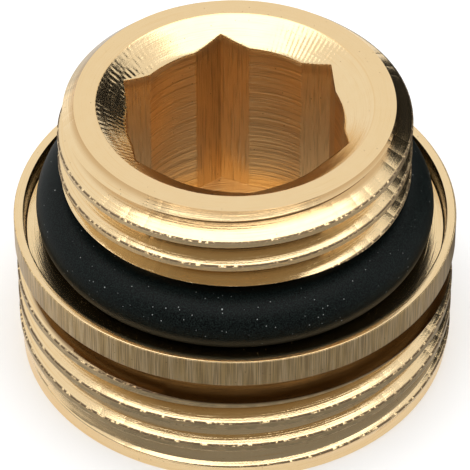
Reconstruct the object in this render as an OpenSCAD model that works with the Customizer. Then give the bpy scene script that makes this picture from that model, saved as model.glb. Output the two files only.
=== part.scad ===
// Radiator connection adapter: a turned brass double nipple with a sealing ring.
// The radiator end points up, the union end stands on the ground plane.
// Origin: centre of the bottom face. Axis: +Z. Units: millimetres.

/* [Radiator end] */
// Diameter over the thread crests
radiator_crest_d = 20.84; // [20.2:0.02:21.6]
// Depth of the thread, crest to root
radiator_thread_depth = 1.07; // [0.8:0.01:1.1]
// Width of the flat on each crest
radiator_crest_flat = 0.34; // [0.2:0.01:0.38]
// Threaded length, from the neck up to the end face
radiator_thread_h = 5.0; // [3:0.1:12]
// Diameter of the undercut neck that the sealing ring sits on
neck_d = 16.6; // [15.6:0.05:18.4]
// Height of the neck between the thread and the collar rim
neck_h = 3.27; // [2:0.01:6]
// Depth of the shoulder at the neck below the thread crests
run_out_depth = 0.14; // [0.05:0.01:0.6]
// Height of the cone on which the thread runs out into the shoulder
run_out_h = 0.36; // [0.2:0.01:0.9]
// Angle at which the crest runs out of the end face
radiator_thread_start = 255; // [0:1:360]
// Outer diameter of the flat end face
end_face_d = 18.8; // [18:0.02:19.6]
// Diameter of the countersink at the end face
countersink_d = 16.24; // [14.5:0.02:17]
// Depth of the countersink, end face to pilot bore
countersink_depth = 1.25; // [0.6:0.05:2.5]

/* [Key socket] */
// Width across flats of the hexagon
hexagon_af = 12.3; // [11.6:0.05:12.6]
// Diameter of the pilot bore that the hexagon is broached over
pilot_d = 12.74; // [12.5:0.02:13.5]
// Turn of the hexagon about the axis
hexagon_turn = 6.9; // [-30:0.1:30]
// Thickness of the web between the socket and the union seat
web_h = 1.5; // [1:0.1:4]
// Diameter of the waterway through the web
waterway_d = 10.6; // [6:0.1:12]

/* [Collar] */
// Outer diameter
collar_d = 26.4; // [26.3:0.05:30]
// Height of the plain band
collar_h = 1.88; // [1.4:0.02:6]
// Width of the flat rim that stops against the radiator
rim_w = 0.56; // [0.3:0.01:0.8]
// Depth of the ring recess below the rim
recess_depth = 1.13; // [0.5:0.01:1.3]
// How much narrower the recess is at its floor than at the rim, on the radius
recess_taper = 0.14; // [0.02:0.01:0.3]

/* [Union end] */
// Diameter over the thread crests
union_crest_d = 26.24; // [25.6:0.02:26.4]
// Depth of the thread, crest to root
union_thread_depth = 1.06; // [0.6:0.01:1.08]
// Width of the flat on each crest
union_crest_flat = 0.44; // [0.2:0.01:0.46]
// Threaded length, from the bottom face up to the relief
union_thread_h = 6.35; // [5.2:0.05:12]
// Height of the relief groove under the collar
relief_h = 1.5; // [0.8:0.05:3]
// Depth of the relief groove below the crests
relief_depth = 1.12; // [1.1:0.01:1.5]
// Radius of the fillet between the relief groove and the collar
relief_fillet = 0.35; // [0.1:0.05:0.6]
// Angle at which the crest runs out of the bottom face
union_thread_start = 119; // [0:1:360]
// Outer diameter of the flat bottom face
bottom_face_d = 24.2; // [23.2:0.05:25.4]
// Diameter of the mouth of the union seat
seat_mouth_d = 20.2; // [19:0.05:22]
// Diameter of the union seat
seat_d = 18.0; // [16:0.05:18.8]
// Depth of the union seat, from the bottom face
seat_depth = 4.3; // [3:0.05:4.8]
// Half angle of the cone that leads into the seat
seat_cone_angle = 30; // [15:1:45]

/* [Sealing ring] */
// Share of the recess width that the thickness of the ring fills
ring_fill = 0.84; // [0.6:0.01:0.95]
// Gap between the ring and the neck, and between the ring and the recess floor
ring_clearance = 0.02; // [0.01:0.01:0.1]

/* [Threads] */
// Pitch of both threads, fourteen turns to the inch
pitch = 1.814; // [1.7:0.001:2.2]
// Angle of each flank from a plane across the axis
flank_angle = 27.5; // [22:0.5:28]

/* [Hidden] */
round_fn = 96;
section_fn = 48;
fillet_steps = 6;
facets_per_turn = 60;
thread_bed = 0.12;
turn_gap = 0.04;
cut_margin = 1;
brass = "#d8b572";
rubber = "#16191a";

relief_z = union_thread_h;
collar_z = relief_z + relief_h;
rim_z = collar_z + collar_h;
recess_z = rim_z - recess_depth;
neck_z = rim_z + neck_h;
top_z = neck_z + radiator_thread_h;
socket_z = seat_depth + web_h;

radiator_root_r = radiator_crest_d / 2 - radiator_thread_depth;
union_root_r = union_crest_d / 2 - union_thread_depth;
relief_r = union_crest_d / 2 - relief_depth;
neck_r = neck_d / 2;
shoulder_r = radiator_crest_d / 2 - run_out_depth;
rim_inner_r = collar_d / 2 - rim_w;
recess_floor_r = rim_inner_r - recess_taper;
seat_cone_h = (seat_mouth_d - seat_d) / 2 / tan(seat_cone_angle);
ring_room_w = ring_fill * (recess_floor_r - neck_r - ring_clearance);
ring_room_h = recess_depth + neck_h - 2 * ring_clearance;
ring_section_d = min(ring_room_w, ring_room_h);
ring_r = neck_r + ring_clearance + ring_section_d / 2;
ring_z = recess_z + ring_clearance + ring_section_d / 2;

// Points of a quarter circle from angle a0 to a1 about (x, z)
function arc_points(x, z, r, a0, a1, steps) =
    [for (i = [0 : steps]) let (a = a0 + (a1 - a0) * i / steps) [x + r * cos(a), z + r * sin(a)]];

// Section of one ridge, as offsets from the helix: radius and height
function ridge_section(crest_r, depth, flat) =
    let (bed_r = crest_r - depth - thread_bed,
         flank_w = flat / 2 + (depth + thread_bed) * tan(flank_angle),
         bed_w = min(flank_w, (pitch - turn_gap) / 2))
    [[bed_r, -bed_w], [bed_r, bed_w], [crest_r, flat / 2], [crest_r, -flat / 2]];

// A right-hand helical ridge that covers the heights from z_lo to z_hi,
// with its crest passing the height z_ref at the angle start
module helical_ridge(crest_r, depth, flat, z_lo, z_hi, z_ref, start) {
    section = ridge_section(crest_r, depth, flat);
    m = len(section);
    step = 360 / facets_per_turn;
    first = floor((z_lo - z_ref - pitch) / pitch * facets_per_turn);
    last = ceil((z_hi - z_ref + pitch) / pitch * facets_per_turn);
    rings = last - first;
    points = [for (i = [first : last]) let (a = start + i * step) for (p = section)
        [p[0] * cos(a), p[0] * sin(a), z_ref + pitch * i / facets_per_turn + p[1]]];
    sides = [for (i = [0 : rings - 1]) for (j = [0 : m - 1])
        let (k = (j + 1) % m, a = i * m + j, b = i * m + k, c = a + m, d = b + m)
        each [[a, d, b], [a, c, d]]];
    ends = [[0, 2, 3], [0, 1, 2], [rings * m, rings * m + 2, rings * m + 1],
        [rings * m, rings * m + 3, rings * m + 2]];
    polyhedron(points = points, faces = concat(sides, ends));
}

// The ridge of the radiator thread, from the neck to the chamfer round the end face
module radiator_ridge() {
    intersection() {
        helical_ridge(radiator_crest_d / 2, radiator_thread_depth, radiator_crest_flat,
            neck_z, top_z, top_z, radiator_thread_start);
        translate([0, 0, neck_z])
            cylinder(h = radiator_thread_h, r1 = end_face_d / 2 + radiator_thread_h,
                r2 = end_face_d / 2, $fn = round_fn);
    }
}

// The ridge of the union thread, from the chamfer round the bottom face to the relief
module union_ridge() {
    intersection() {
        helical_ridge(union_crest_d / 2, union_thread_depth, union_crest_flat,
            0, relief_z, 0, union_thread_start);
        cylinder(h = relief_z, r1 = bottom_face_d / 2, r2 = bottom_face_d / 2 + relief_z,
            $fn = round_fn);
    }
}

// The turned blank without its ridges and without its bores; a face that is
// narrower than the thread root leaves its chamfer on the core as well
module turned_blank() {
    collar_r = collar_d / 2;
    foot_r = bottom_face_d / 2;
    tip_r = end_face_d / 2;
    fillet = min(relief_fillet, relief_h / 2, collar_r - relief_r);
    foot = foot_r < union_root_r
        ? [[foot_r, 0], [union_root_r, union_root_r - foot_r]]
        : [[union_root_r, 0]];
    tip = tip_r < radiator_root_r
        ? [[radiator_root_r, top_z - radiator_root_r + tip_r], [tip_r, top_z]]
        : [[radiator_root_r, top_z]];
    rotate_extrude($fn = round_fn) polygon(concat(
        [[0, 0]],
        foot,
        [[union_root_r, relief_z], [relief_r, relief_z]],
        arc_points(relief_r + fillet, collar_z - fillet, fillet, 180, 90, fillet_steps),
        [[collar_r, collar_z], [collar_r, rim_z], [rim_inner_r, rim_z],
         [recess_floor_r, recess_z], [neck_r, recess_z], [neck_r, neck_z],
         [shoulder_r, neck_z], [radiator_root_r, neck_z + run_out_h]],
        tip,
        [[0, top_z]]));
}

// Countersink, pilot bore, hexagon and waterway
module key_socket() {
    cone_r = countersink_d / 2;
    slope = (cone_r - pilot_d / 2) / countersink_depth;
    translate([0, 0, top_z - countersink_depth])
        cylinder(h = countersink_depth + cut_margin, r1 = pilot_d / 2,
            r2 = cone_r + slope * cut_margin, $fn = round_fn);
    translate([0, 0, socket_z])
        cylinder(h = top_z - socket_z, d = pilot_d, $fn = round_fn);
    translate([0, 0, socket_z]) rotate([0, 0, 90 + hexagon_turn])
        linear_extrude(top_z - socket_z + cut_margin)
            circle(d = hexagon_af / cos(30), $fn = 6);
    translate([0, 0, seat_depth - cut_margin])
        cylinder(h = web_h + 2 * cut_margin, d = waterway_d, $fn = round_fn);
}

// Seat for the nose of the union, with its cone mouth
module union_seat() {
    lead = tan(seat_cone_angle) * cut_margin;
    translate([0, 0, -cut_margin])
        cylinder(h = seat_depth + cut_margin, d = seat_d, $fn = round_fn);
    translate([0, 0, -cut_margin])
        cylinder(h = seat_cone_h + cut_margin, r1 = seat_mouth_d / 2 + lead, r2 = seat_d / 2,
            $fn = round_fn);
}

module bored_blank() {
    difference() {
        turned_blank();
        key_socket();
        union_seat();
    }
}

module nipple_body() {
    color(brass)
        union() {
            bored_blank();
            radiator_ridge();
            union_ridge();
        }
}

module sealing_ring() {
    color(rubber)
        translate([0, 0, ring_z])
            rotate_extrude($fn = round_fn)
                translate([ring_r, 0]) circle(d = ring_section_d, $fn = section_fn);
}

nipple_body();
sealing_ring();
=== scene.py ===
# %% [markdown]
# # A radiator connection adapter, dressed over its exact model
#
# The real part is one piece of brass bar, turned on a lathe, with a black rubber
# ring lying in a recess round its neck. The upper thread screws into a radiator,
# the lower one takes the nut of a union, and a hexagon key reaches down into the
# socket to turn the whole thing home.
#
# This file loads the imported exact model, makes one watertight brass skin and one
# ring that stand in for its two nodes, gives both their finish, and sets up the
# camera, the floor and the light.

# %% Load the exact model
import math

import bmesh
import bpy
import numpy as np
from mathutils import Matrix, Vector


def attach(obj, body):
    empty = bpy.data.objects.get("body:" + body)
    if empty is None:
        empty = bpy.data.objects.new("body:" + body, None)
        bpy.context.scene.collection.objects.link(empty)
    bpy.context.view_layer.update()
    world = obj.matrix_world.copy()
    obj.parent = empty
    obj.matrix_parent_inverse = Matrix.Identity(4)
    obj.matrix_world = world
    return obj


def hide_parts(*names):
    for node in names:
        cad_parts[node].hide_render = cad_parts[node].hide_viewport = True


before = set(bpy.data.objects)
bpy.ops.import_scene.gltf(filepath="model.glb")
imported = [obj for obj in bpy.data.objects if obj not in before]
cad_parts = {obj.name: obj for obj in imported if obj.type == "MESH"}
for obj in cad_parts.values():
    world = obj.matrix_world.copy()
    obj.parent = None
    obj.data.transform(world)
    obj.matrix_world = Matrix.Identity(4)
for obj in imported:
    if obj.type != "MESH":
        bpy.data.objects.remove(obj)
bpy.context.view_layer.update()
print("nodes:", sorted(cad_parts))

# %% [markdown]
# ## Sizes
#
# All heights are measured upwards from the bottom face, which stands on the
# floor, and all radii from the common axis. They repeat the exact model, so each
# piece lands where the model has it. Millimetres are easier to read than metres,
# so one factor turns them at the very end.

# %% Name the sizes
MM = 0.001
PITCH = 1.814
FLANK = 27.5
END_Z, NECK_Z, RIM_Z, RECESS_Z, BAND_Z, RELIEF_Z = 18.0, 13.0, 9.73, 8.60, 7.85, 6.35
NECK_R, RECESS_R, RIM_R, COLLAR_R, RELIEF_R = 8.3, 12.5, 12.64, 13.2, 12.0
SHOULDER_R, RUN_OUT_H = 10.28, 0.36
PILOT_R, FLAT_TO_FLAT, HEX_TURN, SOCKET_Z = 6.37, 12.3, 6.9, 5.8
COUNTERSINK_R, COUNTERSINK_Z, FACE_R = 8.12, 16.75, 9.4
SEAT_Z, SEAT_R, SEAT_MOUTH_R, WATERWAY_R = 4.3, 9.0, 10.1, 5.3
FOOT_R = 12.1

# Columns run round the axis. The first stands on a corner of the hexagon, and the
# arcs and the corners of the socket then all fall on columns too.
COLUMNS = 480
FIRST_ANGLE = 30.0 + HEX_TURN
angles = np.radians(FIRST_ANGLE + np.arange(COLUMNS) * 360.0 / COLUMNS)
print("columns:", COLUMNS, "of", round(2 * math.pi * COLLAR_R / COLUMNS, 3), "mm at the collar")


# %% [markdown]
# ## A helper for node arithmetic
#
# Both Geometry Nodes and shaders do sums with Math nodes, and a formula of twenty
# nodes is hard to read when it is wired by hand. `Sum` wraps one output socket.
# Writing `a * b + c` with it adds the nodes and their links in the background.

# %% Wrap a socket so that formulas can be written
class Sum:
    def __init__(self, tree, socket):
        self.tree, self.socket = tree, socket

    def do(self, operation, *others):
        node = self.tree.nodes.new("ShaderNodeMath")
        node.operation = operation
        for place, value in zip(node.inputs, (self,) + others):
            if isinstance(value, Sum):
                self.tree.links.new(value.socket, place)
            else:
                place.default_value = value
        return Sum(self.tree, node.outputs[0])

    def __add__(self, other):
        return self.do("ADD", other)

    def __sub__(self, other):
        return self.do("SUBTRACT", other)

    def __mul__(self, other):
        return self.do("MULTIPLY", other)

    def __truediv__(self, other):
        return self.do("DIVIDE", other)

    def part_way(self, other, share):
        return self + (other - self) * share


# %% [markdown]
# ## The threads
#
# A thread is one section repeated along a helix: flat crest, flank, root, flank,
# and again. A lathe cuts it with a single pointed tool that moves up by one pitch
# for every turn of the bar. The same rule makes it here. A flat grid is rolled up
# round the axis, its rows climb by one pitch a turn, and every point asks how far
# it is from the nearest crest and takes its radius from that.
#
# Two things would look wrong if they were left to chance. The rows have to lie
# exactly on the crest edges, or the edges turn into saw teeth. So each row is told
# which part of the section it belongs to. And where the chamfer of the end face
# cuts the crest away, the crest rows slide down the flank to the line of the cut.

# %% Say where the rows of one pitch lie
# Each row: the mark it starts from, the mark it moves towards, how far, and a
# small step in millimetres that places two rows on either side of an edge. The
# marks run from the middle of one root to the middle of the next, away from the
# face that the thread starts at.
ROOT_BEFORE, OUTER_FOOT, OUTER_EDGE, CREST, INNER_EDGE, INNER_FOOT, ROOT_AFTER = range(7)
SECTION_ROWS = (
    (ROOT_BEFORE, OUTER_FOOT, 0.0, 0.0),
    (OUTER_FOOT, OUTER_EDGE, 0.0, -0.06),
    (OUTER_FOOT, OUTER_EDGE, 0.0, 0.06),
    (OUTER_FOOT, OUTER_EDGE, 0.38, 0.0),
    (OUTER_FOOT, OUTER_EDGE, 0.70, 0.0),
    (OUTER_EDGE, CREST, 0.0, -0.055),
    (OUTER_EDGE, CREST, 0.0, -0.018),
    (OUTER_EDGE, CREST, 0.0, 0.018),
    (OUTER_EDGE, CREST, 0.0, 0.055),
    (CREST, INNER_EDGE, 0.0, 0.0),
    (INNER_EDGE, INNER_FOOT, 0.0, -0.055),
    (INNER_EDGE, INNER_FOOT, 0.0, -0.018),
    (INNER_EDGE, INNER_FOOT, 0.0, 0.018),
    (INNER_EDGE, INNER_FOOT, 0.0, 0.055),
    (INNER_EDGE, INNER_FOOT, 0.30, 0.0),
    (INNER_EDGE, INNER_FOOT, 0.62, 0.0),
    (INNER_FOOT, ROOT_AFTER, 0.0, -0.06),
    (INNER_FOOT, ROOT_AFTER, 0.0, 0.06),
)
ROWS = len(SECTION_ROWS)
print("rows a pitch:", ROWS)


# %% Build the thread tree
def thread_tree():
    tree = bpy.data.node_groups.new("cut_thread", "GeometryNodeTree")
    sizes = {}
    for name in ("Crest radius", "Root radius", "Crest flat", "Pitch", "Slope", "Start angle",
                 "First angle", "Face height", "Inward", "Face radius", "Length", "Shoulder radius",
                 "Run-out height", "Turns"):
        tree.interface.new_socket(name=name, in_out="INPUT", socket_type="NodeSocketFloat")
    tree.interface.new_socket(name="Brass", in_out="INPUT", socket_type="NodeSocketMaterial")
    tree.interface.new_socket(name="Thread", in_out="OUTPUT", socket_type="NodeSocketGeometry")
    entry = tree.nodes.new("NodeGroupInput")
    for socket in entry.outputs[:-2]:
        sizes[socket.name] = Sum(tree, socket)
    crest_r, root_r, flat = sizes["Crest radius"], sizes["Root radius"], sizes["Crest flat"]
    pitch, slope, inward = sizes["Pitch"], sizes["Slope"], sizes["Inward"]

    # The flat grid: one unit a column, one unit a row
    grid = tree.nodes.new("GeometryNodeMeshGrid")
    rows = sizes["Turns"] * ROWS
    grid.inputs["Size X"].default_value = COLUMNS
    grid.inputs["Vertices X"].default_value = COLUMNS + 1
    tree.links.new(rows.socket, grid.inputs["Size Y"])
    tree.links.new((rows + 1).socket, grid.inputs["Vertices Y"])
    place = tree.nodes.new("ShaderNodeSeparateXYZ")
    tree.links.new(tree.nodes.new("GeometryNodeInputPosition").outputs[0], place.inputs[0])
    column = Sum(tree, place.outputs[0]) + COLUMNS / 2
    row = (Sum(tree, place.outputs[1]) + rows * 0.5).do("ROUND")
    angle = sizes["First angle"] + column * (360.0 / COLUMNS)
    turn = (row / ROWS).do("FLOOR")
    step = row - turn * ROWS

    # Depth below the end face of this row's crest, then of the marks of its section
    half = flat * 0.5
    climb = (angle - sizes["Start angle"]) / 360.0
    depth = (turn - 1.0 - climb * inward) * pitch
    outer, inner = depth - half, depth + half
    cut = crest_r - sizes["Face radius"]
    outer_edge = outer.do("MINIMUM", (outer * slope - cut) / (slope - 1.0))
    inner_edge = inner.do("MAXIMUM", (inner * slope + cut) / (slope + 1.0))
    crest = cut.do("MAXIMUM", outer_edge.part_way(inner_edge, 0.2))
    crest = crest.do("MINIMUM", outer_edge.part_way(inner_edge, 0.8))
    drop = (crest_r - root_r) / slope
    marks = (depth - pitch * 0.5, outer - drop, outer_edge, crest, inner_edge, inner + drop,
             depth + pitch * 0.5)

    # Every row picks its own place between two marks, and none overtakes the next
    pick = tree.nodes.new("GeometryNodeIndexSwitch")
    pick.data_type = "FLOAT"
    while len(pick.index_switch_items) < ROWS:
        pick.index_switch_items.new()
    tree.links.new(step.socket, pick.inputs["Index"])
    before = None
    for number, (begin, towards, share, nudge) in enumerate(SECTION_ROWS):
        here = marks[begin].part_way(marks[towards], share) + nudge
        before = here if before is None else here.do("MAXIMUM", before)
        tree.links.new(before.socket, pick.inputs[1 + number])
    wanted = Sum(tree, pick.outputs[0])
    below = wanted.do("MAXIMUM", 0.0).do("MINIMUM", sizes["Length"])

    # Distance along the axis to the nearest crest, and the radius that belongs to it
    away = below - depth
    away = (away - (away / pitch).do("ROUND") * pitch).do("ABSOLUTE")
    radius = crest_r.do("SMOOTH_MIN", crest_r - (away - half) * slope, 0.10)
    radius = radius.do("SMOOTH_MIN", sizes["Face radius"] + below, 0.08)
    radius = radius.do("SMOOTH_MAX", root_r, 0.10)
    fall = (sizes["Shoulder radius"] - root_r) / sizes["Run-out height"]
    run_out = sizes["Shoulder radius"] - (sizes["Length"] - below) * fall
    radius = radius.do("SMOOTH_MAX", run_out, 0.05).do("MAXIMUM", root_r)

    turned = angle * (math.pi / 180.0)
    spot = tree.nodes.new("ShaderNodeCombineXYZ")
    tree.links.new((radius * turned.do("COSINE") * MM).socket, spot.inputs[0])
    tree.links.new((radius * turned.do("SINE") * MM).socket, spot.inputs[1])
    tree.links.new(((sizes["Face height"] - below * inward) * MM).socket, spot.inputs[2])
    roll = tree.nodes.new("GeometryNodeSetPosition")
    tree.links.new(grid.outputs["Mesh"], roll.inputs["Geometry"])
    tree.links.new(spot.outputs[0], roll.inputs["Position"])

    # Weld the seam and the rows that were pressed together at both ends
    weld = tree.nodes.new("GeometryNodeMergeByDistance")
    weld.inputs["Distance"].default_value = 0.002 * MM
    real = tree.nodes.new("GeometryNodeRealizeInstances")
    finish = tree.nodes.new("GeometryNodeSetMaterial")
    leave = tree.nodes.new("NodeGroupOutput")
    tree.links.new(roll.outputs[0], weld.inputs["Geometry"])
    tree.links.new(weld.outputs[0], real.inputs[0])
    tree.links.new(real.outputs[0], finish.inputs["Geometry"])
    tree.links.new(entry.outputs["Brass"], finish.inputs["Material"])
    tree.links.new(finish.outputs[0], leave.inputs[0])
    return tree


cut_thread = thread_tree()
print("thread tree:", len(cut_thread.nodes), "nodes")

# %% [markdown]
# ## The two threads
#
# Both ends use the same tree with other sizes. The tree's inputs are set by their
# identifiers before the object is looked at for the first time. Then the finished
# shape is copied into a plain mesh, and the modifier goes.

# %% Run the tree for both ends
brass_names = ("face_brass", "thread_brass", "socket_brass", "collar_brass", "seat_brass")
FACE, THREAD, SOCKET, COLLAR, SEAT = range(5)
brass = [bpy.data.materials.new(name) for name in brass_names]


def run_thread(name, **sizes):
    blank = bpy.data.objects.new(name, bpy.data.meshes.new(name))
    bpy.context.scene.collection.objects.link(blank)
    cutter = blank.modifiers.new("cut", "NODES")
    cutter.node_group = cut_thread
    for item in cut_thread.interface.items_tree:
        key = item.name.lower().replace(" ", "_").replace("-", "_")
        if item.in_out == "INPUT" and key in sizes:
            cutter[item.identifier] = sizes[key]
    cutter[cut_thread.interface.items_tree["Brass"].identifier] = brass[THREAD]
    bpy.context.view_layer.update()
    seen = blank.evaluated_get(bpy.context.evaluated_depsgraph_get())
    mesh = bpy.data.meshes.new_from_object(seen)
    blank.modifiers.remove(cutter)
    bpy.data.objects.remove(blank)
    print(name, len(mesh.vertices), "points", len(mesh.polygons), "faces")
    return mesh


slope = 1.0 / math.tan(math.radians(FLANK))
radiator_thread = run_thread(
    "radiator_thread", crest_radius=10.42, root_radius=9.35, crest_flat=0.34, pitch=PITCH,
    slope=slope, start_angle=255.0, first_angle=FIRST_ANGLE, face_height=END_Z, inward=1.0,
    face_radius=FACE_R, length=END_Z - NECK_Z, shoulder_radius=SHOULDER_R,
    run_out_height=RUN_OUT_H, turns=5.0)
union_thread = run_thread(
    "union_thread", crest_radius=13.12, root_radius=12.06, crest_flat=0.44, pitch=PITCH,
    slope=slope, start_angle=119.0, first_angle=FIRST_ANGLE, face_height=0.0, inward=-1.0,
    face_radius=FOOT_R, length=RELIEF_Z, shoulder_radius=12.0, run_out_height=0.4, turns=6.0)

# %% [markdown]
# ## The brass skin
#
# The rest of the body is lathe work as well: rings of points at one radius and one
# height, joined by strips of faces. Only the key socket isn't round. It is a hexagon
# pushed through a round pilot bore, so at each column its wall stands at whichever
# is further out, the bore or the hexagon, and it ends where that wall meets the
# cone of the countersink.
#
# All strips use the same columns as the threads. That lets everything be joined
# into one closed skin with no gaps and no overlaps.

# %% Rings and strips
skin = bmesh.new()


def ring(radius, height):
    radius, height = radius + 0 * angles, height + 0 * angles
    return [skin.verts.new((r * math.cos(a) * MM, r * math.sin(a) * MM, z * MM))
            for r, z, a in zip(radius, height, angles)]


def strip(one, other, finish):
    for i in range(COLUMNS):
        k = (i + 1) % COLUMNS
        face = skin.faces.new((one[i], one[k], other[k], other[i]))
        face.material_index = finish


def lathe(rings, finish, last=None):
    for spot in rings:
        new = ring(*spot)
        if last is not None:
            strip(last, new, finish)
        last = new
    return last


def add_thread(mesh):
    """Puts a thread into the skin and gives its two end rings, lower first."""
    known = len(skin.verts)
    skin.from_mesh(mesh)
    skin.verts.ensure_lookup_table()
    ends = [v for v in skin.verts[known:] if any(e.is_boundary for e in v.link_edges)]
    middle = sum(v.co.z for v in ends) / len(ends)
    loops = []
    for side in (-1, 1):
        loop = [v for v in ends if (v.co.z - middle) * side > 0]
        turn = lambda v: (math.degrees(math.atan2(v.co.y, v.co.x)) - FIRST_ANGLE + 0.3) % 360
        loop.sort(key=turn)
        assert len(loop) == COLUMNS, len(loop)
        loops.append(loop)
    return loops


radiator_low, radiator_top = add_thread(radiator_thread)
union_foot, union_top = add_thread(union_thread)
for face in skin.faces:
    face.material_index = THREAD

# %% Where the hexagon stands out of the pilot bore
across = np.radians((np.degrees(angles) - FIRST_ANGLE + 30.0 + 30.0) % 60.0 - 30.0)
hexagon = FLAT_TO_FLAT / 2 / np.cos(across)
wall = np.maximum(hexagon, PILOT_R)
cone_slope = (COUNTERSINK_R - PILOT_R) / (END_Z - COUNTERSINK_Z)
mouth = COUNTERSINK_Z + (wall - PILOT_R) / cone_slope
print("socket: corners at", round(wall.max(), 2), "mm, mouth up to", round(mouth.max(), 2), "mm")

# %% Close the skin, from the end face through the socket and round the outside
face_edge = lathe([(9.2, END_Z), (8.8, END_Z), (8.4, END_Z), (8.17, END_Z)], FACE, radiator_top)
cone = lathe([(8.125, END_Z - 0.012), (8.08, END_Z - 0.035)], FACE, face_edge)
for share in (0.3, 0.6, 0.9):
    cone = lathe([(8.08 + (wall + 0.03 - 8.08) * share,
                   END_Z - 0.035 + (mouth + 0.02 - END_Z + 0.035) * share)], FACE, cone)
cone = lathe([(wall + 0.03, mouth + 0.022), (wall + 0.005, mouth - 0.02)], FACE, cone)
for share in (0.08, 0.2, 0.35, 0.5, 0.65, 0.8, 0.92, 1.0):
    cone = lathe([(wall, mouth - 0.02 + (SOCKET_Z - mouth + 0.02) * share)], SOCKET, cone)
inside = lathe([(wall * 0.97, SOCKET_Z), (5.8, SOCKET_Z), (WATERWAY_R + 0.05, SOCKET_Z),
                (WATERWAY_R, SOCKET_Z - 0.05)], SOCKET, cone)
inside = lathe([(WATERWAY_R, SEAT_Z + 0.05), (WATERWAY_R + 0.05, SEAT_Z), (7.0, SEAT_Z), (8.8, SEAT_Z),
                (SEAT_R, SEAT_Z - 0.1), (SEAT_R, 3.0), (SEAT_R, 1.95), (SEAT_R + 0.03, 1.86),
                (9.6, 0.87), (SEAT_MOUTH_R - 0.03, 0.05), (SEAT_MOUTH_R + 0.03, 0.0),
                (11.0, 0.0), (11.9, 0.0)], SEAT, inside)
strip(inside, union_foot, SEAT)
groove = lathe([(RELIEF_R, RELIEF_Z), (RELIEF_R, 6.9), (RELIEF_R, 7.5), (12.05, 7.68), (12.18, 7.80),
                (12.35, BAND_Z), (12.8, BAND_Z), (13.10, BAND_Z), (13.16, BAND_Z + 0.015),
                (13.19, BAND_Z + 0.06)], COLLAR, union_top)
band = lathe([(COLLAR_R, BAND_Z + 0.12), (COLLAR_R, 8.4), (COLLAR_R, 8.9), (COLLAR_R, 9.4),
              (COLLAR_R, RIM_Z - 0.09), (13.185, RIM_Z - 0.04), (13.15, RIM_Z - 0.01),
              (13.10, RIM_Z)], COLLAR, groove)
recess = lathe([(12.95, RIM_Z), (12.72, RIM_Z), (12.66, RIM_Z - 0.02), (12.635, RIM_Z - 0.06),
                (12.57, 9.1), (12.51, 8.68), (12.44, RECESS_Z), (11.5, RECESS_Z), (10.5, RECESS_Z),
                (9.4, RECESS_Z), (8.42, RECESS_Z), (8.34, RECESS_Z + 0.04), (NECK_R, RECESS_Z + 0.12),
                (NECK_R, 10.5), (NECK_R, 12.0), (NECK_R, NECK_Z - 0.12), (8.36, NECK_Z - 0.03),
                (8.45, NECK_Z), (9.2, NECK_Z)], COLLAR, band)
strip(recess, radiator_low, THREAD)

# %% Weld, turn all faces outwards, and see whether the skin is closed
bmesh.ops.remove_doubles(skin, verts=skin.verts, dist=0.002 * MM)
bmesh.ops.dissolve_degenerate(skin, dist=0.001 * MM, edges=skin.edges)
bmesh.ops.recalc_face_normals(skin, faces=skin.faces)
loose = sum(1 for edge in skin.edges if len(edge.link_faces) != 2)
body_mesh = bpy.data.meshes.new("turned_body")
skin.to_mesh(body_mesh)
volume = skin.calc_volume(signed=True) / MM ** 3
skin.free()
for material in brass:
    body_mesh.materials.append(material)
body_mesh.shade_smooth()
body_mesh.set_sharp_from_angle(angle=math.radians(32))
turned_body = bpy.data.objects.new("turned_body", body_mesh)
bpy.context.scene.collection.objects.link(turned_body)
triangles = sum(len(p.vertices) - 2 for p in body_mesh.polygons)
print("skin:", triangles, "triangles,", loose, "open edges,", round(volume, 1), "mm3")

# %% [markdown]
# ## The sealing ring
#
# An O-ring is moulded, so it is simply a torus with a thin parting line. It lies
# on the floor of the recess and grips the neck.

# %% Make the ring
def rubber_ring(across_r, section_r, height, around=360, facets=48):
    mesh = bpy.data.meshes.new("sealing_rubber")
    turns = np.radians(np.arange(around) * 360.0 / around)
    points, faces = [], []
    for i, a in enumerate(turns):
        for j in range(facets):
            b = 2 * math.pi * j / facets
            r = across_r + section_r * math.cos(b)
            points.append((r * math.cos(a) * MM, r * math.sin(a) * MM,
                           (height + section_r * math.sin(b)) * MM))
            k, m = (i + 1) % around, (j + 1) % facets
            faces.append((i * facets + j, k * facets + j, k * facets + m, i * facets + m))
    mesh.from_pydata(points, [], faces)
    mesh.shade_smooth()
    return bpy.data.objects.new("sealing_rubber", mesh)


RING_SECTION = 0.84 * (RECESS_R - NECK_R - 0.02)
sealing_rubber = rubber_ring(NECK_R + 0.02 + RING_SECTION / 2, RING_SECTION / 2,
                             RECESS_Z + 0.02 + RING_SECTION / 2)
bpy.context.scene.collection.objects.link(sealing_rubber)
print("ring section:", round(RING_SECTION, 3), "mm")

# %% [markdown]
# ## How a turned surface is described
#
# Everything a lathe does to a surface goes round with the work. So the finishes
# don't use the usual boxy texture space. They ask for the radius, the height and the
# direction round the axis, and the marks follow the tool by themselves. `Finish`
# opens a material and keeps those values ready, in millimetres and degrees.

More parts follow.
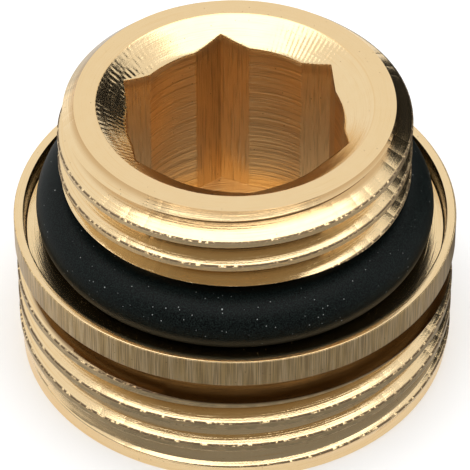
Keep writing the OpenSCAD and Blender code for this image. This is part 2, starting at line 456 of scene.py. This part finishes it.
# %% A finish that knows where it is on the part
class Finish:
    def __init__(self, material):
        material.use_nodes = True
        self.tree = tree = material.node_tree
        self.shader = tree.nodes["Principled BSDF"]
        where = tree.nodes.new("ShaderNodeTexCoord")
        split = tree.nodes.new("ShaderNodeSeparateXYZ")
        tree.links.new(where.outputs["Object"], split.inputs[0])
        self.x, self.y, self.z = (Sum(tree, out) * 1000.0 for out in split.outputs)
        self.r = (self.x * self.x + self.y * self.y).do("SQRT")
        self.cos, self.sin = self.x / self.r, self.y / self.r
        self.angle = self.sin.do("ARCTAN2", self.cos) * (180.0 / math.pi)

    def noise(self, a, b, c, d, detail=2.0, rough=0.5):
        """Smooth noise over four values, with its middle at 0.5."""
        node = self.tree.nodes.new("ShaderNodeTexNoise")
        node.noise_dimensions = "4D"
        node.inputs["Scale"].default_value = 1.0
        node.inputs["Detail"].default_value = detail
        node.inputs["Roughness"].default_value = rough
        point = self.tree.nodes.new("ShaderNodeCombineXYZ")
        for place, value in zip((*point.inputs, node.inputs["W"]), (a, b, c, d)):
            self.tree.links.new(value.socket, place)
        self.tree.links.new(point.outputs[0], node.inputs["Vector"])
        return Sum(self.tree, node.outputs["Fac"])

    def between(self, value, low, high):
        """0 below low, 1 above high, and an even slope in between."""
        node = self.tree.nodes.new("ShaderNodeMapRange")
        node.interpolation_type = "SMOOTHSTEP"
        node.inputs["From Min"].default_value = low
        node.inputs["From Max"].default_value = high
        self.tree.links.new(value.socket, node.inputs["Value"])
        return Sum(self.tree, node.outputs[0])

    def blend(self, share, one, other):
        """A colour that goes from one to the other."""
        node = self.tree.nodes.new("ShaderNodeMix")
        node.data_type = "RGBA"
        self.tree.links.new(share.socket, node.inputs["Factor"])
        for name, colour in (("A", one), ("B", other)):
            place = [i for i in node.inputs if i.name == name and i.type == "RGBA"][0]
            if isinstance(colour, tuple):
                place.default_value = (*colour, 1.0)
            else:
                self.tree.links.new(colour, place)
        return [o for o in node.outputs if o.type == "RGBA"][0]

    def wear(self, colour, roughness, height):
        """Gives the shader its colour, its roughness and its relief in millimetres."""
        self.tree.links.new(colour, self.shader.inputs["Base Color"])
        self.tree.links.new(roughness.socket, self.shader.inputs["Roughness"])
        bump = self.tree.nodes.new("ShaderNodeBump")
        bump.inputs["Strength"].default_value = 1.0
        bump.inputs["Distance"].default_value = MM
        self.tree.links.new(height.socket, bump.inputs["Height"])
        self.tree.links.new(bump.outputs[0], self.shader.inputs["Normal"])


# %% [markdown]
# ## Brass, zone by zone
#
# All of the body is the same alloy, yet each tool leaves its own marks: rings on the
# faces, lines that climb with the thread, chatter on the countersink, broach streaks
# in the corners of the socket and scratches across the collar, where a wrench or the
# chuck held it. One colour for all of them would look like plastic, so each zone gets
# its own finish, built from the same few parts.
# Some of the colour is painted light: the thread roots, the top end of the lower thread and the relief groove
# are drawn darker as painted shade, the torn line along the crests is drawn nearly black as painted shade, and
# the lower crests and the band get patches of painted reflection of a dark floor.

# %% Helpers for the marks
PALE = (0.90, 0.71, 0.43)
GOLD = (0.84, 0.60, 0.31)
WARM = (0.80, 0.53, 0.25)
DARK_BROWN = (0.34, 0.22, 0.11)


def specks(coat, size, cells, share):
    """1 in small round spots of that size in millimetres, thinly spread, and 0 elsewhere."""
    node = coat.tree.nodes.new("ShaderNodeTexVoronoi")
    node.inputs["Scale"].default_value = cells
    point = coat.tree.nodes.new("ShaderNodeCombineXYZ")
    for place, value in zip(point.inputs, (coat.x, coat.y, coat.z)):
        coat.tree.links.new(value.socket, place)
    coat.tree.links.new(point.outputs[0], node.inputs["Vector"])
    chance = coat.tree.nodes.new("ShaderNodeSeparateColor")
    coat.tree.links.new(node.outputs["Color"], chance.inputs[0])
    close = Sum(coat.tree, node.outputs["Distance"]).do("LESS_THAN", size * cells)
    return close * Sum(coat.tree, chance.outputs[0]).do("LESS_THAN", share)


def chatter(coat, step, wander):
    """Flat facets along the turning direction, from -0.25 at their ends to 0 in their middles."""
    bend = coat.noise(coat.cos * 2.0, coat.sin * 2.0, coat.z * 0.0, coat.r * 0.0)
    place = coat.angle / step + bend * wander
    part = place - place.do("FLOOR") - 0.5
    return part * part * -1.0


def grain_of(coat, size):
    return coat.noise(coat.x / size, coat.y / size, coat.z / size, coat.r * 0.0, detail=1.0)


def begin_brass(material):
    coat = Finish(material)
    coat.shader.inputs["Metallic"].default_value = 1.0
    coat.shader.inputs["IOR"].default_value = 1.5
    return coat


# %% Faces and countersink
coat = begin_brass(brass[FACE])
rings = coat.noise(coat.r * 18.0, coat.cos * 3.0, coat.sin * 3.0, coat.z * 18.0)
broad = coat.noise(coat.r * 3.5, coat.cos * 1.5, coat.sin * 1.5, coat.z * 3.5)
mottle = grain_of(coat, 0.9)
fine = grain_of(coat, 0.08)
# Chatter stands across the cone in two sectors, a spiral of fine ribs each way
on_cone = coat.between(coat.r, 8.14, 8.02)
left = coat.between((coat.angle.do("ABSOLUTE") - 172.0).do("ABSOLUTE"), 44.0, 24.0)
back = coat.between((coat.angle - 58.0).do("ABSOLUTE"), 30.0, 16.0)
ribs = (coat.angle * 2.2 + coat.r * 3.2).do("SINE") + (coat.angle * 2.0 - coat.r * 5.0).do("SINE")
ribs = ribs * left + (coat.angle * 2.7 - coat.r * 0.7).do("SINE") * back
ribs = ribs * on_cone * coat.between(mottle, 0.28, 0.55)
height = rings * 0.008 + broad * 0.012 + fine * 0.006 + ribs * 0.0045
edge = coat.between((coat.r - 8.13).do("ABSOLUTE"), 0.05, 0.02)
spots = specks(coat, 0.032, 2.6, 0.35)
tone = coat.blend(mottle * 0.5 + rings * 0.5, PALE, GOLD)
tone = coat.blend(on_cone * -0.35 + 0.35, tone, GOLD)
tone = coat.blend(coat.between(rings, 0.55, 0.75) * 0.35 + edge * 0.4, tone, WARM)
tone = coat.blend(spots * 0.85, tone, DARK_BROWN)
coat.wear(tone, rings * 0.20 + 0.06 + spots * 0.3, height)
print(len(coat.tree.nodes), "nodes in the face finish")

# %% Threads
coat = begin_brass(brass[THREAD])
climb = coat.z / PITCH - coat.angle / 360.0
phase = climb * (2 * math.pi)
lines = coat.noise(phase.do("COSINE") * 3.8, phase.do("SINE") * 3.8, coat.x * 0.20, coat.r * 12.0)
crest_patches = coat.noise(phase.do("COSINE") * 1.5, phase.do("SINE") * 1.5, coat.angle * 0.35, coat.r * 5.0, detail=3.0)
ragged = coat.noise(coat.x * 3.5, coat.y * 3.5, coat.z * 2.0, coat.r * 0.0, detail=3.0)
mottle = grain_of(coat, 0.7)
fine = grain_of(coat, 0.08)
facets = chatter(coat, 7.5, 3.0)
lower = coat.between(coat.z, 6.9, 6.6)
below_crest = lower * 2.7 + 10.42 - coat.r
crest = coat.between(below_crest, 0.06, 0.0)
root = coat.between(below_crest, 0.60, 1.0)
shade_under_collar = lower * coat.between(coat.z, 6.20, 6.34)
# Height above the middle of the nearest crest, and the torn line along its upper edge, a ragged burr drawn
# nearly black as painted shade
upper_middle, lower_middle = END_Z / PITCH - 255.0 / 360.0, -119.0 / 360.0
turn_part = climb - upper_middle - lower * (lower_middle - upper_middle)
above_crest = (turn_part - turn_part.do("ROUND")) * PITCH
torn_and_shade_line = coat.between((above_crest - 0.18 - lower * 0.05 + (ragged - 0.5) * 0.06).do("ABSOLUTE"), 0.060, 0.025)
torn_and_shade_line = torn_and_shade_line * coat.between(ragged, 0.36, 0.50) * coat.between(below_crest, 0.3, 0.1)
height = lines * 0.010 + fine * 0.005 + facets * 0.045 + crest * crest_patches * 0.035 - torn_and_shade_line * 0.02
spots = specks(coat, 0.032, 2.6, 0.25)
tone = coat.blend(mottle * 0.5 + lines * 0.5, PALE, GOLD)
tone = coat.blend(coat.between(lines, 0.56, 0.70) * 0.5, tone, WARM)
# Painted shade: the deep roots between the crests are drawn brown.
tone = coat.blend(root * 0.85, tone, (0.60, 0.38, 0.17))
# Painted reflection of a dark floor: patches on the lower thread's crests are drawn dull olive.
tone = coat.blend(crest * lower * coat.between(crest_patches, 0.35, 0.6), tone, (0.66, 0.50, 0.28))
# Painted shade: the top end of the lower thread, under the collar, is drawn nearly black.
tone = coat.blend(shade_under_collar * 0.9, tone, (0.20, 0.12, 0.06))
# Painted shade along the torn burr: the ragged line is drawn nearly black.
tone = coat.blend(torn_and_shade_line * 0.9, tone, (0.10, 0.065, 0.04))
tone = coat.blend(spots * 0.85, tone, DARK_BROWN)
coat.wear(tone, lines * 0.20 + 0.05 + crest * 0.14 + torn_and_shade_line * 0.3, height)

# %% Socket
coat = begin_brass(brass[SOCKET])
arcs = coat.noise(coat.r * 2.0, coat.cos * 1.2, coat.sin * 1.2, coat.z * 9.0 + coat.angle * 0.05)
streaks = coat.noise(coat.x * 8.0, coat.y * 8.0, coat.z * 0.40, coat.r * 0.0, detail=3.0)
floor_rings = coat.noise(coat.r * 10.0, coat.cos * 1.0, coat.sin * 1.0, coat.z * 0.0)
mottle = grain_of(coat, 1.1)
fine = grain_of(coat, 0.09)
on_floor = coat.between(coat.z, SOCKET_Z + 0.06, SOCKET_Z + 0.02)
broached = coat.between(coat.r, 6.375, 6.40) * (on_floor * -1.0 + 1.0)
bored = (broached * -1.0 + 1.0) * (on_floor * -1.0 + 1.0)
dark_strip_by_corner = coat.between((coat.angle - 105.0).do("ABSOLUTE"), 8.6, 7.8) * broached
height = arcs * bored * 0.040 + streaks * broached * 0.040 + floor_rings * on_floor * 0.04 + fine * 0.008
spots = specks(coat, 0.045, 1.8, 0.4)
tone = coat.blend(mottle * 0.4 + streaks * broached * 0.6 + arcs * bored * 0.6, GOLD, WARM)
tone = coat.blend(coat.between(arcs, 0.52, 0.62) * bored * 0.35, tone, DARK_BROWN)
# Broach streaks, and a narrow strip beside one corner of the hexagon, about 105 degrees round, are drawn darker.
tone = coat.blend(broached * coat.between(streaks, 0.48, 0.66) * 0.35 + dark_strip_by_corner * 0.3, tone, DARK_BROWN)
tone = coat.blend(spots * 0.85, tone, DARK_BROWN)
coat.wear(tone, streaks * 0.2 + 0.26, height)

# %% Collar, recess and relief groove
coat = begin_brass(brass[COLLAR])
turned = coat.noise(coat.r * 16.0, coat.cos * 3.0, coat.sin * 3.0, coat.z * 16.0)
across = coat.noise(coat.cos * 210.0, coat.sin * 210.0, coat.z * 0.35, coat.r * 0.0, detail=3.0)
wide = coat.noise(coat.cos * 30.0, coat.sin * 30.0, coat.z * 0.25, coat.r * 0.0, detail=3.0)
mottle = grain_of(coat, 0.8)
fine = grain_of(coat, 0.08)
on_band = coat.between(coat.r, 13.14, 13.18)
groove = coat.between(coat.z, 7.95, 7.75) * (on_band * -1.0 + 1.0)
height = turned * 0.009 + fine * 0.005 + across * on_band * 0.022 + wide * on_band * 0.05
spots = specks(coat, 0.04, 2.0, 0.4)
tone = coat.blend(mottle * 0.5 + turned * 0.5, PALE, GOLD)
# Broad streaks on the band are drawn darker: partly broad scratches, partly a painted reflection of a dark
# floor.
tone = coat.blend(on_band * coat.between(wide, 0.35, 0.65), tone, (0.74, 0.52, 0.24))
tone = coat.blend(on_band * coat.between(across, 0.42, 0.62) * 0.65, tone, DARK_BROWN)
tone = coat.blend(coat.between(turned, 0.55, 0.75) * 0.35, tone, WARM)
# Painted shade: the relief groove under the collar is drawn dark brown.
tone = coat.blend(groove * 0.80, tone, (0.24, 0.15, 0.07))
tone = coat.blend(spots * 0.8, tone, DARK_BROWN)
coat.wear(tone, turned * 0.18 + 0.08 + on_band * 0.15, height)

# %% Union seat
coat = begin_brass(brass[SEAT])
turned = coat.noise(coat.r * 11.0, coat.cos * 2.0, coat.sin * 2.0, coat.z * 11.0)
mottle = grain_of(coat, 0.9)
spots = specks(coat, 0.04, 2.0, 0.3)
tone = coat.blend(mottle * 0.5 + turned * 0.5, PALE, GOLD)
tone = coat.blend(spots * 0.8, tone, DARK_BROWN)
coat.wear(tone, turned * 0.16 + 0.12, turned * 0.008 + grain_of(coat, 0.1) * 0.003)

# %% [markdown]
# ## Rubber
#
# The ring is black nitrile rubber: nearly no colour of its own, a dull sheen, a skin
# that is slightly rough from its mould, and a little pale dust from the workshop.

# %% Black rubber with dust
rubber = bpy.data.materials.new("black_rubber")
coat = Finish(rubber)
skin_grain = grain_of(coat, 0.07)
cloud = grain_of(coat, 0.8)
dust = specks(coat, 0.030, 4.0, 0.30) * coat.between(cloud, 0.40, 0.58)
big_dust = specks(coat, 0.05, 1.3, 0.35)
dust = dust.do("MAXIMUM", big_dust)
tone = coat.blend(coat.between(skin_grain, 0.35, 0.75), (0.0006, 0.0010, 0.0010), (0.009, 0.0150, 0.0130))
tone = coat.blend(dust, tone, (0.30, 0.32, 0.31))
coat.shader.inputs["Specular IOR Level"].default_value = 0.10
coat.wear(tone, skin_grain * 0.3 + 0.32, skin_grain * 0.016 + dust * 0.01)
sealing_rubber.data.materials.append(rubber)

# %% Tie the pieces to the frame
for piece, node, slot in ((turned_body, "nipple_body", "brass"), (sealing_rubber, "sealing_ring", "rubber")):
    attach(piece, "root")
    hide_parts(node)

# %% [markdown]
# ## Floor, light and camera

# %% Floor
floor_mesh = bpy.data.meshes.new("floor")
floor_mesh.from_pydata([(-3, -3, 0), (3, -3, 0), (3, 3, 0), (-3, 3, 0)], [], [(0, 1, 2, 3)])
floor = bpy.data.objects.new("floor", floor_mesh)
bpy.context.scene.collection.objects.link(floor)
paper = bpy.data.materials.new("paper")
paper.use_nodes = True
paper.node_tree.nodes["Principled BSDF"].inputs["Base Color"].default_value = (0.93, 0.93, 0.93, 1)
paper.node_tree.nodes["Principled BSDF"].inputs["Roughness"].default_value = 0.9
floor_mesh.materials.append(paper)

# %% Light
world = bpy.data.worlds.new("studio")
bpy.context.scene.world = world
world.use_nodes = True
world.node_tree.nodes["Background"].inputs["Color"].default_value = (1, 1, 1, 1)
world.node_tree.nodes["Background"].inputs["Strength"].default_value = 0.95


def soft_box(name, place, target, size, power):
    lamp = bpy.data.lights.new(name, "AREA")
    lamp.shape, lamp.size, lamp.size_y, lamp.energy = "RECTANGLE", size[0], size[1], power
    item = bpy.data.objects.new(name, lamp)
    item.location = place
    item.rotation_euler = (Vector(target) - Vector(place)).to_track_quat("-Z", "Y").to_euler()
    bpy.context.scene.collection.objects.link(item)
    return item


soft_box("overhead", (0.0, -0.08, 0.6), (0, 0, 0), (0.8, 0.7), 2.4)

# %% [markdown]
# ## Cards that only the metal sees
#
# Bare metal shows little but its surroundings, and in an all white tent it turns
# flat. A product photographer stands black cards round such a part, just outside the
# picture, and they draw the dark lines along its edges. The grey card is a painted
# reflection: it lies flat on the floor round the part, and the brass sees in it a darker
# floor than the camera sees, black towards the right back. These cards are made so that
# they don't darken the floor or show in any view: only the gloss of the part sees them.

# %% Black and grey cards
def card(name, points, faces, stops):
    """A card whose grey goes by the direction round the part, from -180 to 180 degrees."""
    mesh = bpy.data.meshes.new(name)
    mesh.from_pydata([tuple(MM * v for v in p) for p in points], [], faces)
    item = bpy.data.objects.new(name, mesh)
    bpy.context.scene.collection.objects.link(item)
    item.visible_camera = item.visible_diffuse = item.visible_shadow = False
    item.visible_transmission = False
    grey = bpy.data.materials.new(name)
    coat = Finish(grey)
    ramp = coat.tree.nodes.new("ShaderNodeValToRGB")
    coat.tree.links.new((coat.angle / 360.0 + 0.5).socket, ramp.inputs[0])
    while len(ramp.color_ramp.elements) < len(stops):
        ramp.color_ramp.elements.new(0.5)
    for stop, (angle, level) in zip(ramp.color_ramp.elements, stops):
        stop.position, stop.color = angle / 360.0 + 0.5, (level, level, level, 1.0)
    coat.tree.links.new(ramp.outputs[0], coat.shader.inputs["Base Color"])
    coat.shader.inputs["Roughness"].default_value = 1.0
    coat.shader.inputs["Specular IOR Level"].default_value = 0.0
    mesh.materials.append(grey)
    return item


def round_card(name, inner, outer, first, last, stops):
    """A strip from the circle inner to the circle outer, each given as radius and height."""
    turns = np.radians(np.arange(first, last + 0.1, 5.0))
    points = [(r * math.cos(a), r * math.sin(a), z) for a in turns for r, z in (inner, outer)]
    faces = [(2 * i, 2 * i + 1, 2 * i + 3, 2 * i + 2) for i in range(len(turns) - 1)]
    return card(name, points, faces, stops)


# Painted reflection: a darker floor, seen only in the brass.
round_card("grey_card", (14.0, 0.1), (120.0, 0.1), -180.0, 180.0,
           ((-180, 0.45), (-150, 0.35), (-120, 0.22), (-40, 0.22), (0, 0.30), (25, 0.03),
            (65, 0.03), (85, 0.5), (180, 0.5)))
round_card("front_card", (120.0, 0.0), (120.0, 92.0), -145.0, -35.0, ((-180, 0.02), (180, 0.02)))
round_card("side_card", (120.0, 0.0), (120.0, 116.0), 25.0, 65.0, ((-180, 0.015), (180, 0.015)))

# %% Camera
TILT, AWAY, AIM_Z = math.radians(42.85), 0.230, 0.00746
view = bpy.data.cameras.new("view")
view.sensor_width = 36.0
view.lens = 3830.5 / 470 * 36.0
view.clip_start, view.clip_end = 0.01, 20.0
camera = bpy.data.objects.new("view", view)
camera.location = (0, -AWAY * math.cos(TILT), AIM_Z + AWAY * math.sin(TILT))
camera.rotation_euler = (math.pi / 2 - TILT, 0, 0)
bpy.context.scene.collection.objects.link(camera)
bpy.context.scene.camera = camera
bpy.context.scene.view_settings.view_transform = "Standard"
